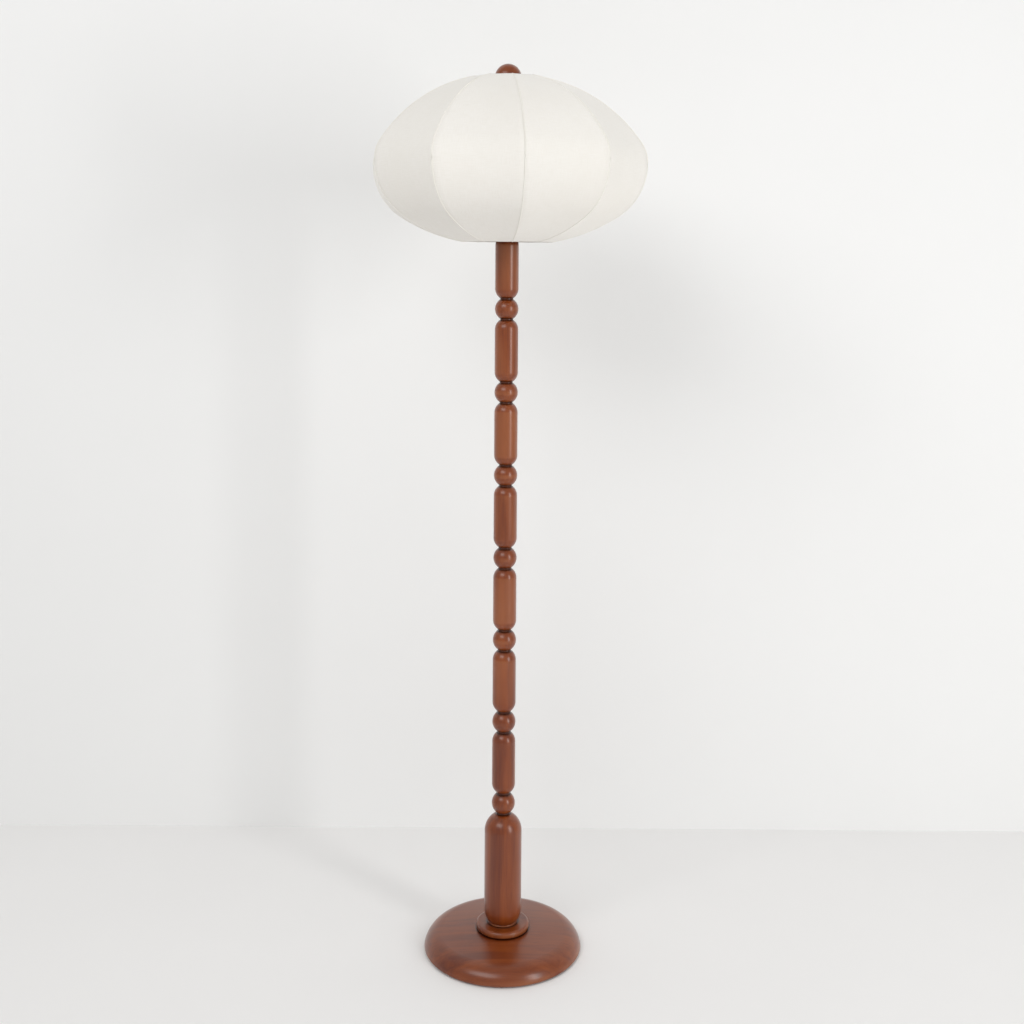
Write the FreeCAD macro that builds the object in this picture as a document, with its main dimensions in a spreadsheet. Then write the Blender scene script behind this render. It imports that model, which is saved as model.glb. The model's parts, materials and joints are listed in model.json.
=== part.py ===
import FreeCAD, Part
import Sketcher
import math
import os

# Mushroom floor lamp: turned wooden beads and capsules strung on a steel pipe, a domed wooden
# base with a weight in it, a lamp holder with a harp, and a ten-rib fabric shade held by a
# ball finial. Millimetres, +Z up, origin on the floor under the stem, front along -Y.

os.makedirs("parts", exist_ok=True)
doc = FreeCAD.newDocument("floor_lamp")
sheet = doc.addObject("Spreadsheet::Sheet", "Sizes")


class Size:
    """A length, angle or count with the sheet formula that gives it."""

    def __init__(self, value, text):
        self.value = float(value)
        self.text = text

    def __add__(self, other):
        other = size(other)
        return Size(self.value + other.value, f"({self.text} + {other.text})")

    def __sub__(self, other):
        other = size(other)
        return Size(self.value - other.value, f"({self.text} - {other.text})")

    def __mul__(self, other):
        other = size(other)
        return Size(self.value * other.value, f"({self.text} * {other.text})")

    def __truediv__(self, other):
        other = size(other)
        return Size(self.value / other.value, f"({self.text} / {other.text})")

    def __radd__(self, other):
        return size(other) + self

    def __rsub__(self, other):
        return size(other) - self

    def __rmul__(self, other):
        return size(other) * self

    def __rtruediv__(self, other):
        return size(other) / self

    def __neg__(self):
        return Size(-self.value, f"(0 - {self.text})")

    def root(self):
        return Size(math.sqrt(self.value), f"sqrt({self.text})")

    def cos(self):
        return Size(math.cos(math.radians(self.value)), f"cos({self.text} * 1 deg)")

    def sin(self):
        return Size(math.sin(math.radians(self.value)), f"sin({self.text} * 1 deg)")


def size(x):
    return x if isinstance(x, Size) else Size(x, repr(float(x)))


def leg(long_side, short_side):
    """The other short side of a right triangle."""
    return (size(long_side) * long_side - size(short_side) * short_side).root()


# ---------------------------------------------------------------- driving sizes
slip = 0.08  # radial clearance where one piece turns or slides in another
loose = 0.4  # radial clearance of bores around the pipe
skin = 0.3  # gap between the fabric and the wires under it

pad_height = 2  # rubber pad, floor to wood
pad_radius = 6
pad_inset = 10  # rim to the circle of pads
pad_count = 5

base_radius = 135
rim_height = 4  # floor to the widest place of the rim
rim_angle = 10  # where the roll ends, above level
rim_tuck = 1.5  # how far the rim draws in under its widest place
roll_radius = 30
base_height = 34  # floor to the top of the dome
seat_depth = 1  # flat turned for the collar
seat_gap = 0.3
roof_depth = 14  # top of the dome to the ceiling of the weight recess
rim_wall = 29  # rim to the weight recess
cover_ledge = 10  # width of the ledge that the cover board is screwed to
cover_thickness = 2.2

plate_gap = 0.4  # around the weight
plate_floor_gap = 1.8  # cover board to the weight
plate_web = 3.5  # metal left above the nut
plate_well = 19  # well for the nut
slot_width = 10  # cord slot across the plate
slot_roof = 5  # metal left above the slot
inlet_rise = 6.3  # cover board to the cord inlet's axis
inlet_bore = 3.4
bushing_radius = 5
bushing_fit = 0.05
bushing_setback = 5.5  # rim to the bushing's seat
flange_radius = 6.5
flange_thickness = 2.5
screw_radius = 1.5
screw_head = 3
screw_head_height = 1.4
screw_length = 12
screw_angle = 45  # first screw from +X
screw_count = 4

pipe_radius = 4.85  # threaded lamp pipe
pipe_bore = 3.5
pipe_tail = 0.5  # pipe below the base nut
pipe_head = 9  # pipe inside the lamp holder's cap
coupling_wall = 1.65
coupling_length = 22
nut_flats = 14
nut_thickness = 5
washer_radius = 12
washer_thickness = 1.5

collar_radius = 45.5
collar_height = 11.3
collar_round = 4.6
ring_radius = 25.8
ring_height = 2.9
ring_round = 1.2
foot_radius = 32
foot_height = 186.5
foot_face = 25.3

bead_radius = 20
spindle_radius = 20
spindle_length = 105
end_face = 11.6  # flat where beads and capsules meet the necks
bead_count = 7  # beads, and as many capsules
lower_join_at = 2  # number of the capsule that hides the lower coupling
upper_join_at = 5  # and of the one that hides the upper coupling
neck_inset = 0.4  # how far the necks stay inside the flats they carry
neck_height = 2.3
neck_round = 0.8

cap_radius = 12.5
cap_thickness = 2
saddle_width = 16
saddle_thickness = 1.6
saddle_end = 4.5  # strip beyond each tab
tab_height = 10
tab_trim = 0.3  # how much flatter a tab is than the harp's wire
harp_foot = 27.5  # stem axis to the harp's foot
harp_belly = 56  # stem axis to the harp's widest place
harp_height = 231.6  # saddle to the top of the harp's eye
harp_wire = 1.7
harp_straight = 36  # straight wire above each foot
harp_flare = 62  # height of the outward slope
harp_shoulder = 45  # height of the upper slope
harp_crown = 26  # stem axis to the upper slope's end
harp_bend = 40
harp_crown_bend = 28
eye_radius = 6.5
sleeve_wall = 1.42
sleeve_length = 20

stud_radius = 3.15  # threaded post under the finial
rivet_radius = 2.5
rivet_head = 4
rivet_head_height = 1.4
shoulder_radius = 7
shoulder_height = 2
stud_thread = 9  # thread above the finial's washer
hub_radius = 14
hub_height = 3
finial_radius = 22.5
finial_face = 6.2
finial_washer_radius = 8
finial_washer_height = 1.5
insert_radius = 4.6
insert_length = 12

holder_wall = 3  # bulb's cap to the outside of the holder
holder_sheet = 0.5  # thickness of the lamp holder's metal
holder_cap_height = 15
holder_cap_slope = 7  # height of the cap's sloping part
holder_cap_floor = 2
holder_hub = 7
shell_height = 44
shell_lap = 4  # shell tucked inside the cap
liner_sheet = 0.6
liner_drop = 1
body_height = 21
body_gap = 0.2
body_lift = 12  # harp saddle to the insulating body
screw_sheet = 0.4
bulb_cap_radius = 13
bulb_cap_height = 22
tip_radius = 4.5
tip_height = 2
contact_height = 2.5
contact_radius = 5
shaft_radius = 1.6
shaft_length = 16
shaft_depth = 6
switch_level = 9  # body's lower face to the switch shaft
knob_radius = 4
knob_gap = 1.5  # holder to the knob
knob_length = 6
key_width = 14
key_thickness = 3
key_length = 10
window_radius = 3
terminal_radius = 2.2
terminal_height = 1.6
terminal_spread = 9.5

glass_radius = 30
glass_wall = 1
glass_collar = 4  # straight glass above the bulb's cap
glass_flare = 45  # hollow sweep from neck to globe
filament_radius = 4
filament_length = 44

rib_count = 10
first_rib = 6.7  # front to the nearest rib, towards +X
waist_radius = 237
waist_drop = 120.3  # hub's lower face to the shade's waist
upper_waist_arc = 60
upper_blend = 34.4
upper_cap_arc = 269
lower_waist_arc = 105
lower_blend = 58.2
lower_cap_arc = 312.5
top_opening = 60
bottom_opening = 75
fabric = 0.8
rib_wire = 1.2
frame_wire = 1.6
arm_count = 3
arm_angle = 90  # first spider arm from +X
arm_dip = 6  # level run of each arm next to the hub

# Each size above goes into the sheet, and its name stands for its cell from here on.
for row, (name, value) in enumerate(
        [entry for entry in vars().items() if type(entry[1]) in (int, float)], 1):
    sheet.set(f"A{row}", name)
    sheet.set(f"B{row}", str(value))
    sheet.setAlias(f"B{row}", name)
    vars()[name] = Size(value, f"Sizes.{name}")
doc.recompute()


# ---------------------------------------------------------------- drawing helpers
def bind(thing, prop, value):
    thing.setExpression(prop, size(value).text)


def place(thing, label, x=0, y=0, z=0):
    thing.Label = label
    for axis, offset in zip("xyz", (x, y, z)):
        if size(offset).value:
            bind(thing, f"Placement.Base.{axis}", offset)


def new_body(name):
    return doc.addObject("PartDesign::Body", name)


def origin_feature(body, role):
    return next(f for f in body.Origin.OriginFeatures if f.Role == role)


def new_sketch(body, name, plane="XZ_Plane"):
    sketch = body.newObject("Sketcher::SketchObject", name)
    sketch.AttachmentSupport = (origin_feature(body, plane), [""])
    sketch.MapMode = "FlatFace"
    return sketch


def constrain(sketch, value, *what):
    """Adds a dimension and ties it to the sheet. A negative one is measured the other way."""
    value = size(value)
    kind, *where = what
    if abs(value.value) < 1e-9 and kind != "Radius":
        sketch.addConstraint(Sketcher.Constraint(kind, *where, 0.0))
        return
    sketch.addConstraint(Sketcher.Constraint(kind, *where, value.value))
    sketch.setExpression(f"Constraints[{sketch.ConstraintCount - 1}]", value.text)


def arc_between(a, b, radius, bulge):
    """Arc from a to b. bulge 1 leaves the centre on the left of a-b, -1 on the right."""
    across = b - a
    middle = (a + b) * 0.5
    reach = math.sqrt(max(radius * radius - across.Length ** 2 / 4, 0.0))
    left = FreeCAD.Vector(-across.y, across.x, 0).normalize()
    centre = middle + left * (reach * bulge)
    circle = Part.Circle(centre, FreeCAD.Vector(0, 0, 1), radius)
    if bulge > 0:
        return Part.ArcOfCircle(circle, angle_of(a - centre), angle_of(b - centre)), (1, 2)
    return Part.ArcOfCircle(circle, angle_of(b - centre), angle_of(a - centre)), (2, 1)


def angle_of(vector):
    return math.atan2(vector.y, vector.x)


def draw(sketch, steps, closed=True):
    """Draws a chain of corners. Each step is (x, y) or (x, y, radius, bulge), where the radius
    and bulge are those of the arc from that corner to the next one."""
    points = [FreeCAD.Vector(size(s[0]).value, size(s[1]).value, 0) for s in steps]
    first = sketch.GeometryCount
    ends = []
    runs = len(steps) if closed else len(steps) - 1
    for i in range(runs):
        a, b = points[i], points[(i + 1) % len(points)]
        if len(steps[i]) > 2:
            shape, order = arc_between(a, b, size(steps[i][2]).value, steps[i][3])
        else:
            shape, order = Part.LineSegment(a, b), (1, 2)
        sketch.addGeometry(shape, False)
        ends.append(order)
    for i in range(runs):
        follows = i + 1 if i + 1 < runs else 0
        if closed or i + 1 < runs:
            sketch.addConstraint(Sketcher.Constraint(
                "Coincident", first + i, ends[i][1], first + follows, ends[follows][0]))
        corner = (first + i, ends[i][0])
        constrain(sketch, steps[i][0], "DistanceX", -1, 1, *corner)
        constrain(sketch, steps[i][1], "DistanceY", -1, 1, *corner)
        if len(steps[i]) > 2:
            constrain(sketch, steps[i][2], "Radius", first + i)
    if not closed:
        corner = (first + runs - 1, ends[-1][1])
        constrain(sketch, steps[-1][0], "DistanceX", -1, 1, *corner)
        constrain(sketch, steps[-1][1], "DistanceY", -1, 1, *corner)


def circle(sketch, x, y, radius):
    index = sketch.addGeometry(Part.Circle(
        FreeCAD.Vector(size(x).value, size(y).value, 0), FreeCAD.Vector(0, 0, 1),
        size(radius).value), False)
    constrain(sketch, radius, "Radius", index)
    constrain(sketch, x, "DistanceX", -1, 1, index, 3)
    constrain(sketch, y, "DistanceY", -1, 1, index, 3)


def revolve(body, sketch, name="turning"):
    feature = body.newObject("PartDesign::Revolution", f"{body.Name}_{name}")
    feature.Profile = (sketch, [""])
    feature.ReferenceAxis = (sketch, ["V_Axis"])
    feature.Angle = 360
    return feature


def turned(label, *outlines, x=0, y=0, z=0):
    """A piece turned on a lathe: closed half outlines in radius and height, spun about Z."""
    body = new_body(label)
    sketch = new_sketch(body, f"{label}_outline")
    for outline in outlines:
        draw(sketch, outline)
    revolve(body, sketch)
    place(body, label, x, y, z)
    return body


def tube_outline(inner, outer, height, foot=0):
    return [(inner, foot), (outer, foot), (outer, size(foot) + height), (inner, size(foot) + height)]


def pad(body, sketch, length, name):
    feature = body.newObject("PartDesign::Pad", f"{body.Name}_{name}")
    feature.Profile = (sketch, [""])
    bind(feature, "Length", length)
    return feature


def pocket(body, sketch, length, name, reverse=False):
    """Cuts a pocket and checks that it did remove material."""
    doc.recompute()
    before = body.Shape.Volume
    feature = body.newObject("PartDesign::Pocket", f"{body.Name}_{name}")
    feature.Profile = (sketch, [""])
    bind(feature, "Length", length)
    feature.Reversed = reverse
    doc.recompute()
    if body.Shape.Volume > before - 1e-6:
        raise RuntimeError(f"{feature.Name} cuts nothing")
    return feature


def polar(body, feature, count, name="around"):
    pattern = body.newObject("PartDesign::PolarPattern", f"{body.Name}_{name}")
    pattern.Originals = [feature]
    pattern.Axis = (origin_feature(body, "Z_Axis"), [""])
    pattern.Angle = 360
    bind(pattern, "Occurrences", count)
    body.Tip = pattern
    return pattern


def hexagon_nut(label, flats, height, bore, z):
    """Part boolean: a hexagonal prism with a bore."""
    prism = doc.addObject("Part::Prism", f"{label}_prism")
    prism.Polygon = 6
    bind(prism, "Circumradius", size(flats) / size(3).root())
    bind(prism, "Height", height)
    drill = doc.addObject("Part::Cylinder", f"{label}_drill")
    bind(drill, "Radius", bore)
    bind(drill, "Height", height)
    nut = doc.addObject("Part::Cut", label)
    nut.Base = prism
    nut.Tool = drill
    place(nut, label, z=z)
    return nut


# ---------------------------------------------------------------- sizes that follow
bore = pipe_radius + loose
wood_bottom = pad_height
cover_top = wood_bottom + cover_thickness
wood_roof = base_height - roof_depth
recess_radius = base_radius - rim_wall
cover_radius = recess_radius + cover_ledge
screw_circle = recess_radius + cover_ledge / 2
pad_circle = base_radius - pad_inset
plate_radius = recess_radius - plate_gap
plate_bottom = cover_top + plate_floor_gap
plate_thickness = wood_roof - plate_bottom
slot_depth = plate_thickness - slot_roof
inlet_height = cover_top + inlet_rise
bushing_face = base_radius - bushing_setback
coupling_radius = pipe_radius + coupling_wall
neck_radius = end_face - neck_inset
saddle_half = harp_foot + saddle_end
tab_width = harp_wire * 2 - tab_trim * 2
tab_thickness = harp_wire - tab_trim
eye_height = harp_wire * 2
sleeve_radius = harp_wire + slip + sleeve_wall
holder_radius = bulb_cap_radius + holder_wall
glass_neck = bulb_cap_radius

# ---------------------------------------------------------------- heights of the stack
seat_top = base_height - seat_depth
ring_bottom = seat_top + collar_height
foot_bottom = ring_bottom + ring_height
stack_start = foot_bottom + foot_height
bead_half = leg(bead_radius, end_face)
bead_height = bead_half * 2
bead_pitch = bead_height + neck_height * 2 + spindle_length
stem_top = stack_start + bead_pitch * bead_count
cap_top = stem_top + cap_thickness
saddle_bottom = cap_top + nut_thickness
saddle_top = saddle_bottom + saddle_thickness
eye_top = saddle_top + harp_height
hub_bottom = eye_top + shoulder_height
finial_bottom = hub_bottom + hub_height + finial_washer_height
waist_level = hub_bottom - waist_drop
well_top = wood_roof - plate_web
base_nut_top = well_top - washer_thickness
pipe_bottom = base_nut_top - nut_thickness - pipe_tail
pipe_top = saddle_top + pipe_head

# ---------------------------------------------------------------- base
# The rim's roll is an arc that meets the dome's arc without a kink: both centres and the
# meeting point lie on one line.
roll_r = base_radius - roll_radius * rim_angle.cos()
roll_z = rim_height - roll_radius * rim_angle.sin()
crown = roll_z - base_height
dome_radius = (roll_r * roll_r + crown * crown - roll_radius * roll_radius) / (
    (roll_radius + crown) * -2)
dome_z = base_height - dome_radius
meet = dome_radius / (dome_radius - roll_radius)
meet_r = roll_r * meet
meet_z = dome_z + (roll_z - dome_z) * meet
seat_radius = collar_radius + seat_gap
seat_edge = dome_z + leg(dome_radius, seat_radius)

screw_x = screw_circle * screw_angle.cos()
screw_y = screw_circle * screw_angle.sin()

base = new_body("base_disc")
outline = new_sketch(base, "base_outline")
draw(outline, [
    (bore, seat_top),
    (bore, wood_roof),
    (recess_radius, wood_roof),
    (recess_radius, cover_top),
    (cover_radius + seat_gap, cover_top),
    (cover_radius + seat_gap, wood_bottom),
    (base_radius - rim_tuck, wood_bottom),
    (base_radius, rim_height, roll_radius, 1),
    (meet_r, meet_z, dome_radius, 1),
    (seat_radius, seat_edge),
    (seat_radius, seat_top),
])
revolve(base, outline)
inlet = new_sketch(base, "inlet_hole")
circle(inlet, 0, inlet_height, bushing_radius + bushing_fit)
pocket(base, inlet, base_radius + cover_ledge, "inlet")
seat = new_sketch(base, "inlet_seat")
bind(seat, "AttachmentOffset.Base.z", -bushing_face)
circle(seat, 0, inlet_height, flange_radius + bushing_fit * 4)
pocket(base, seat, base_radius, "inlet_seat", reverse=False)
pilot = new_sketch(base, "pilot_holes", "XY_Plane")
circle(pilot, screw_x, screw_y, screw_radius)
drilled = pocket(base, pilot, wood_bottom + screw_length, "pilot_holes", reverse=True)
polar(base, drilled, screw_count, "pilots_around")
place(base, "base_disc")

pads = new_body("base_pads")
pads_outline = new_sketch(pads, "pads_outline", "XY_Plane")
circle(pads_outline, 0, -pad_circle, pad_radius)
polar(pads, pad(pads, pads_outline, pad_height, "pad"), pad_count)
place(pads, "base_pads")

cover = new_body("base_cover")
cover_outline = new_sketch(cover, "cover_outline", "XY_Plane")
circle(cover_outline, 0, 0, cover_radius)
pad(cover, cover_outline, cover_thickness, "board")
cover_hole = new_sketch(cover, "cover_hole", "XY_Plane")
circle(cover_hole, screw_x, screw_y, screw_radius + bushing_fit)
polar(cover, pocket(cover, cover_hole, cover_thickness, "hole", reverse=True), screw_count)
place(cover, "base_cover", z=wood_bottom)

screws = new_body("cover_screws")
screws_outline = new_sketch(screws, "screws_outline")
draw(screws_outline, [
    (0, -screw_head_height),
    (screw_head, -screw_head_height),
    (screw_head, 0),
    (screw_radius, 0),
    (screw_radius, screw_length),
    (0, screw_length),
])
# Each screw is turned about its own upright line, then copied around the base.
bind(screws_outline, "AttachmentOffset.Base.x", screw_x)
bind(screws_outline, "AttachmentOffset.Base.z", -screw_y)
polar(screws, revolve(screws, screws_outline, "screw"), screw_count)
place(screws, "cover_screws", z=wood_bottom)

plate = new_body("weight_plate")
plate_outline = new_sketch(plate, "plate_outline")
draw(plate_outline, [
    (bore, plate_thickness),
    (bore, plate_thickness - plate_web),
    (plate_well, plate_thickness - plate_web),
    (plate_well, 0),
    (plate_radius, 0),
    (plate_radius, plate_thickness),
])
revolve(plate, plate_outline)
slot = new_sketch(plate, "plate_slot", "XY_Plane")
draw(slot, [
    (-slot_width / 2, 0),
    (slot_width / 2, 0),
    (slot_width / 2, base_radius),
    (-slot_width / 2, base_radius),
])
pocket(plate, slot, slot_depth, "slot", reverse=True)
place(plate, "weight_plate", z=plate_bottom)

bushing = new_body("cord_bushing")
bushing_outline = new_sketch(bushing, "bushing_outline")
flange_top = bushing_face + flange_thickness
draw(bushing_outline, [
    (inlet_bore, recess_radius + seat_gap),
    (bushing_radius, recess_radius + seat_gap),
    (bushing_radius, bushing_face),
    (flange_radius, bushing_face),
    (flange_radius, flange_top),
    (inlet_bore, flange_top),
])
revolve(bushing, bushing_outline)
bushing.Placement = FreeCAD.Placement(FreeCAD.Vector(), FreeCAD.Rotation(FreeCAD.Vector(1, 0, 0), -90))
place(bushing, "cord_bushing", z=inlet_height)

turned("base_washer", tube_outline(bore, washer_radius, washer_thickness), z=base_nut_top)
hexagon_nut("base_nut", nut_flats, nut_thickness, pipe_radius, base_nut_top - nut_thickness)


# ---------------------------------------------------------------- stem
def rounded_disc(radius, height, edge, foot=0):
    """Half outline of a bored disc with both outer edges rounded."""
    foot = size(foot)
    return [
        (bore, foot),
        (radius - edge, foot, edge, 1),
        (radius, foot + edge),
        (radius, foot + height - edge, edge, 1),
        (radius - edge, foot + height),
        (bore, foot + height),
    ]


def capsule(radius, length, lower_face, upper_face, counterbore=None):
    """Half outline of a capsule with round ends cut flat at the two face radii. The bore is
    wider from the lower end where the pipe's sections are joined inside."""
    lower_centre = leg(radius, lower_face)
    upper_centre = length - leg(radius, upper_face)
    inside = [(bore, length), (bore, 0)]
    if counterbore:
        wide, depth = counterbore
        inside = [(bore, length), (bore, depth), (wide, depth), (wide, 0)]
    return inside + [
        (lower_face, 0, radius, 1),
        (radius, lower_centre),
        (radius, upper_centre, radius, 1),
        (upper_face, length),
    ]


turned("base_collar", rounded_disc(collar_radius, collar_height, collar_round), z=seat_top)
turned("foot_ring", rounded_disc(ring_radius, ring_height, ring_round), z=ring_bottom)
turned("column_foot", capsule(foot_radius, foot_height, foot_face, end_face), z=foot_bottom)

bead_outline = [
    (bore, 0),
    (end_face, 0, bead_radius, 1),
    (end_face, bead_height),
    (bore, bead_height),
]
coupling_depth = (spindle_length + coupling_length) / 2
coupling_bore = (coupling_radius + loose, coupling_depth)
join_levels = []
for number in range(1, round(bead_count.value) + 1):
    bead_bottom = stack_start + bead_pitch * (number - 1) + neck_height
    spindle_bottom = bead_bottom + bead_height + neck_height
    joined = number in (round(lower_join_at.value), round(upper_join_at.value))
    if joined:
        join_levels.append(spindle_bottom + spindle_length / 2)
    turned(f"bead_{number}", bead_outline, z=bead_bottom)
    turned(
        f"spindle_{number}",
        capsule(spindle_radius, spindle_length, end_face, end_face,
                coupling_bore if joined else None),
        z=spindle_bottom,
    )

necks = new_body("neck_discs")
necks_outline = new_sketch(necks, "necks_outline")
draw(necks_outline, rounded_disc(neck_radius, neck_height, neck_round))
draw(necks_outline,
     rounded_disc(neck_radius, neck_height, neck_round, foot=neck_height + bead_height))
neck_pair = revolve(necks, necks_outline)
neck_rows = necks.newObject("PartDesign::LinearPattern", "neck_rows")
neck_rows.Originals = [neck_pair]
neck_rows.Direction = (origin_feature(necks, "Z_Axis"), [""])
neck_rows.Mode = "Spacing"
bind(neck_rows, "Offset", bead_pitch)
bind(neck_rows, "Occurrences", bead_count)
necks.Tip = neck_rows
place(necks, "neck_discs", z=stack_start)

lower_join, upper_join = join_levels
for label, low, high in (
    ("pipe_lower", pipe_bottom, lower_join),
    ("pipe_middle", lower_join, upper_join),
    ("pipe_upper", upper_join, pipe_top),
):
    turned(label, tube_outline(pipe_bore, pipe_radius, high - low), z=low)

couplings = new_body("pipe_couplings")
couplings_outline = new_sketch(couplings, "couplings_outline")
for foot in (0, upper_join - lower_join):
    draw(couplings_outline, tube_outline(pipe_radius, coupling_radius, coupling_length, foot))
revolve(couplings, couplings_outline)
place(couplings, "pipe_couplings", z=lower_join - coupling_length / 2)

turned("stem_cap", tube_outline(bore, cap_radius, cap_thickness), z=stem_top)
hexagon_nut("top_nut", nut_flats, nut_thickness, pipe_radius, cap_top)


# ---------------------------------------------------------------- harp
def rounded_run(sketch, corners):
    """Draws straight runs joined by tangent arcs. Each inner corner is (x, y, bend radius)."""
    points = [FreeCAD.Vector(size(c[0]).value, size(c[1]).value, 0) for c in corners]
    touch = []
    for before, here, after, corner in zip(points, points[1:], points[2:], corners[1:]):
        turn = (here - before).getAngle(after - here)
        back = size(corner[2]).value * math.tan(turn / 2)
        touch.append((here + (before - here).normalize() * back,
                      here + (after - here).normalize() * back))
    starts = [points[0]] + [t[1] for t in touch]
    stops = [t[0] for t in touch] + [points[-1]]
    lines = [sketch.addGeometry(Part.LineSegment(a, b), False) for a, b in zip(starts, stops)]
    constrain(sketch, corners[0][0], "DistanceX", -1, 1, lines[0], 1)
    constrain(sketch, corners[0][1], "DistanceY", -1, 1, lines[0], 1)
    constrain(sketch, corners[-1][0], "DistanceX", -1, 1, lines[-1], 2)
    constrain(sketch, corners[-1][1], "DistanceY", -1, 1, lines[-1], 2)
    for i, corner in enumerate(corners[1:-1]):
        mark = sketch.addGeometry(Part.Point(points[i + 1]), True)
        constrain(sketch, corner[0], "DistanceX", -1, 1, mark, 1)
        constrain(sketch, corner[1], "DistanceY", -1, 1, mark, 1)
        for line in lines[i:i + 2]:
            sketch.addConstraint(Sketcher.Constraint("PointOnObject", mark, 1, line))
        along = stops[i] - starts[i]
        onward = stops[i + 1] - starts[i + 1]
        left = 1 if along.cross(onward).z > 0 else -1
        shape, order = arc_between(stops[i], starts[i + 1], size(corner[2]).value, left)
        arc = sketch.addGeometry(shape, False)
        sketch.addConstraint(Sketcher.Constraint("Tangent", lines[i], 2, arc, order[0]))
        sketch.addConstraint(Sketcher.Constraint("Tangent", lines[i + 1], 1, arc, order[1]))
        constrain(sketch, corner[2], "Radius", arc)


def sweep_wire(body, path, radius, name="wire"):
    """Sweeps a round wire along a path, starting square to the path's first edge."""
    doc.recompute()
    section = body.newObject("Sketcher::SketchObject", f"{body.Name}_{name}_section")
    section.AttachmentSupport = (path, ["Edge1"])
    section.MapMode = "NormalToEdge"
    section.MapPathParameter = 0
    circle(section, 0, 0, radius)
    feature = body.newObject("PartDesign::AdditivePipe", f"{body.Name}_{name}")
    feature.Profile = (section, [""])
    feature.Spine = (path, [""])
    doc.recompute()
    return feature


saddle = new_body("harp_saddle")
strip = new_sketch(saddle, "saddle_strip", "XY_Plane")
draw(strip, [
    (-saddle_half, -saddle_width / 2),
    (saddle_half, -saddle_width / 2),
    (saddle_half, saddle_width / 2),
    (-saddle_half, saddle_width / 2),
])
circle(strip, 0, 0, bore)
pad(saddle, strip, saddle_thickness, "strip")
tab = new_sketch(saddle, "saddle_tab", "XY_Plane")
draw(tab, [
    (harp_foot - tab_thickness / 2, -tab_width / 2),
    (harp_foot + tab_thickness / 2, -tab_width / 2),
    (harp_foot + tab_thickness / 2, tab_width / 2),
    (harp_foot - tab_thickness / 2, tab_width / 2),
])
tabs = pad(saddle, tab, saddle_thickness + tab_height, "tab")
polar(saddle, tabs, 2)
place(saddle, "harp_saddle", z=saddle_bottom)

harp = new_body("harp")
harp_path = new_sketch(harp, "harp_path")
wire_top = harp_height - eye_height / 2
flare_start = tab_height + harp_straight
rounded_run(harp_path, [
    (harp_foot, tab_height),
    (harp_foot, flare_start, harp_bend),
    (harp_belly, flare_start + harp_flare, harp_bend),
    (harp_belly, wire_top - harp_shoulder, harp_bend),
    (harp_crown, wire_top, harp_crown_bend),
    (eye_radius - harp_wire / 2, wire_top),
])
half = sweep_wire(harp, harp_path, harp_wire)
mirror = harp.newObject("PartDesign::Mirrored", "harp_other_half")
mirror.Originals = [half]
mirror.MirrorPlane = (origin_feature(harp, "YZ_Plane"), [""])
harp.Tip = mirror
eye = new_sketch(harp, "harp_eye", "XY_Plane")
bind(eye, "AttachmentOffset.Base.z", harp_height - eye_height)
circle(eye, 0, 0, eye_radius)
pad(harp, eye, eye_height, "eye")
eye_hole = new_sketch(harp, "harp_eye_hole", "XY_Plane")
bind(eye_hole, "AttachmentOffset.Base.z", harp_height - eye_height)
circle(eye_hole, 0, 0, rivet_radius + slip)
pocket(harp, eye_hole, eye_height, "eye_hole", reverse=True)
place(harp, "harp", z=saddle_top)

for label, side in (("harp_sleeve_left", -1), ("harp_sleeve_right", 1)):
    turned(label, tube_outline(harp_wire + slip, sleeve_radius, sleeve_length),
           x=harp_foot * side, z=saddle_top)

post_foot = eye_height + shoulder_height
turned("harp_stud", [
    (0, -rivet_head_height),
    (rivet_head, -rivet_head_height),
    (rivet_head, 0),
    (rivet_radius, 0),
    (rivet_radius, eye_height),
    (shoulder_radius, eye_height),
    (shoulder_radius, post_foot),
    (stud_radius, post_foot),
    (stud_radius, post_foot + hub_height + finial_washer_height + stud_thread),
    (0, post_foot + hub_height + finial_washer_height + stud_thread),
], z=eye_top - eye_height)

# ---------------------------------------------------------------- lamp holder and switch
cap_inner = holder_radius - holder_sheet
cap_slope_top = holder_cap_floor + holder_cap_slope
shell_radius = cap_inner - slip
shell_bottom = holder_cap_height - shell_lap
liner_radius = shell_radius - holder_sheet - body_gap
body_radius = liner_radius - liner_sheet - body_gap
switch_height = body_lift + switch_level
body_top = body_lift + body_height
screw_bore = bulb_cap_radius + slip
shell_top = shell_bottom + shell_height

turned("socket_cap", [
    (bore, 0),
    (holder_hub, 0),
    (holder_hub, holder_cap_floor),
    (holder_radius, cap_slope_top),
    (holder_radius, holder_cap_height),
    (cap_inner, holder_cap_height),
    (cap_inner, cap_slope_top + holder_sheet),
    (holder_hub, holder_cap_floor + holder_sheet * 2),
    (bore, holder_cap_floor + holder_sheet * 2),
], z=saddle_top)


def windowed_tube(label, outer, wall, foot, height):
    """A tube of the lamp holder with a round window at the front for the switch shaft."""
    tube = new_body(label)
    outline = new_sketch(tube, f"{label}_outline")
    draw(outline, tube_outline(outer - wall, outer, height, foot))
    revolve(tube, outline)
    window = new_sketch(tube, f"{label}_window")
    circle(window, 0, switch_height, window_radius)
    pocket(tube, window, outer + 1, "window", reverse=True)
    place(tube, label, z=saddle_top)


windowed_tube("socket_shell", shell_radius, holder_sheet, shell_bottom, shell_height)
windowed_tube("socket_liner", liner_radius, liner_sheet, shell_bottom + liner_drop,
              shell_height - liner_drop * 2)

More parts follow.
